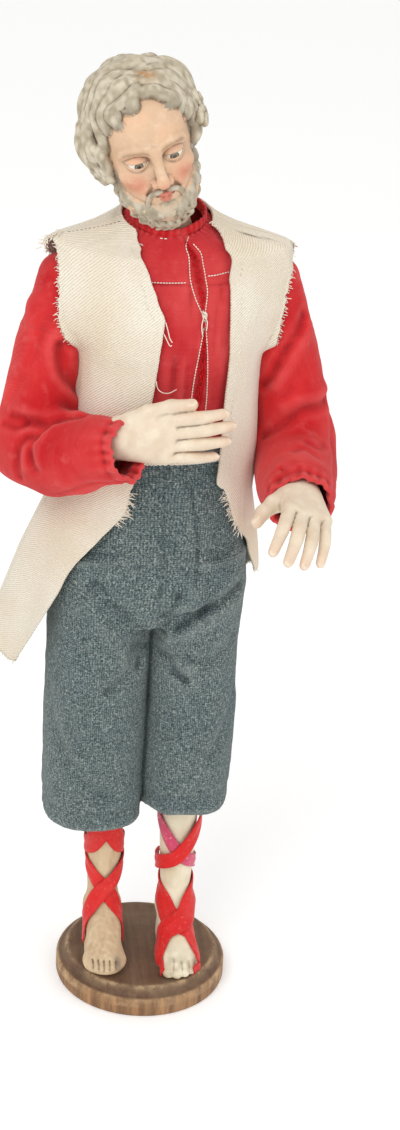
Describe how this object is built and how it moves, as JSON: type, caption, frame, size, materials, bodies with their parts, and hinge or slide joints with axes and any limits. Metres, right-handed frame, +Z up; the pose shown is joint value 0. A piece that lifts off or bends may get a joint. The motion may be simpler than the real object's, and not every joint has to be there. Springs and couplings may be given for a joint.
{
  "type": "nativity scene figure",
  "caption": "Standing dressed nativity figure with a bearded carved head, jointed wooden body, waistcoat, shirt, breeches and leg ribbons on a round base.",
  "frame": {"origin": "centre of the round base's underside", "axes": "+Z up along the figure's height, the figure faces -Y, its right hand side is -X"},
  "size_m": [0.1392, 0.1393, 0.4112],
  "materials": {
    "stained_wood": "worn satin",
    "bare_wood": "bare, worn",
    "cream_paint": "painted, worn satin",
    "carved_paint": "painted, worn",
    "red_cotton": "plain weave",
    "twill": "twill weave",
    "tweed": "coarse wool",
    "red_ribbon": "narrow ribbon",
    "pink_ribbon": "faded ribbon",
    "linen_cord": "twisted",
    "inner_wood": "unfinished"
  },
  "bodies": {
    "stand": {"base_plinth": "stained_wood", "right_foot_pin": "inner_wood", "left_foot_pin": "inner_wood", "right_lower_leg": "bare_wood", "left_lower_leg": "cream_paint", "right_knee_dowel": "inner_wood", "left_knee_dowel": "inner_wood", "right_thigh": "inner_wood", "left_thigh": "inner_wood", "right_hip_dowel": "inner_wood", "left_hip_dowel": "inner_wood", "pelvis_block": "inner_wood", "hip_padding": "linen_cord", "waist_peg": "inner_wood", "breeches_right": "tweed", "breeches_left": "tweed", "waist_cord": "linen_cord", "right_ankle_ribbon": "red_ribbon", "right_garter_ribbon": "red_ribbon", "left_foot_ribbon": "red_ribbon", "left_faded_ribbon": "pink_ribbon", "left_calf_ribbon": "red_ribbon"},
    "torso": {"chest_block": "inner_wood", "right_shoulder_pin": "inner_wood", "left_shoulder_pin": "inner_wood", "shirt_body": "red_cotton", "shirt_neckband": "red_cotton", "waistcoat_right_front": "twill", "waistcoat_left_front": "twill", "waistcoat_back": "twill"},
    "neck": {"neck_post": "inner_wood", "neck_pin": "inner_wood"},
    "head": {"head": "carved_paint"},
    "right_upper_arm": {"right_upper_arm": "inner_wood", "right_elbow_pin": "inner_wood", "right_sleeve": "red_cotton"},
    "right_forearm": {"right_forearm": "inner_wood"},
    "right_hand": {"right_hand": "cream_paint", "right_wrist_peg": "inner_wood"},
    "left_upper_arm": {"left_upper_arm": "inner_wood", "left_elbow_pin": "inner_wood", "left_sleeve": "red_cotton"},
    "left_forearm": {"left_forearm": "inner_wood"},
    "left_hand": {"left_hand": "cream_paint", "left_wrist_peg": "inner_wood"}
  },
  "joints": [
    {"name": "waist_turn", "type": "hinge", "parent": "stand", "child": "torso", "pos_m": [-0.002, 0, 0.225], "axis": [0, 0, 1], "range_deg": [-7, 7]},
    {"name": "head_turn", "type": "hinge", "parent": "torso", "child": "neck", "pos_m": [-0.004, 0.003, 0.347], "axis": [0, 0, 1], "range_deg": [-25, 25]},
    {"name": "head_nod", "type": "hinge", "parent": "neck", "child": "head", "pos_m": [-0.004, 0.003, 0.347], "axis": [0.9487, 0.0663, 0.309], "range_deg": [-8, 3]},
    {"name": "right_shoulder", "type": "hinge", "parent": "torso", "child": "right_upper_arm", "pos_m": [-0.0435, 0.001, 0.325], "axis": [-1, 0, 0], "range_deg": [0, 50], "deforming": ["right_sleeve", "waistcoat_right_front"]},
    {"name": "right_elbow", "type": "hinge", "parent": "right_upper_arm", "child": "right_forearm", "pos_m": [-0.05474, -0.0076, 0.26054], "axis": [-0.8063, -0.5515, 0.2141], "range_deg": [-40, 6]},
    {"name": "right_wrist", "type": "hinge", "parent": "right_forearm", "child": "right_hand", "pos_m": [-0.02753, -0.04219, 0.27391], "axis": [0.5916, -0.752, 0.2908], "range_deg": [-20, 5]},
    {"name": "left_shoulder", "type": "hinge", "parent": "torso", "child": "left_upper_arm", "pos_m": [0.0395, 0.001, 0.325], "axis": [-1, 0, 0], "range_deg": [-10, 50], "deforming": ["left_sleeve", "waistcoat_left_front"]},
    {"name": "left_elbow", "type": "hinge", "parent": "left_upper_arm", "child": "left_forearm", "pos_m": [0.05141, -0.00231, 0.26017], "axis": [-0.9766, 0.1099, -0.185], "range_deg": [-45, 20]},
    {"name": "left_wrist", "type": "hinge", "parent": "left_forearm", "child": "left_hand", "pos_m": [0.04725, -0.04784, 0.25508], "axis": [-0.0904, -0.9897, -0.1105], "range_deg": [-30, 30]}
  ]
}
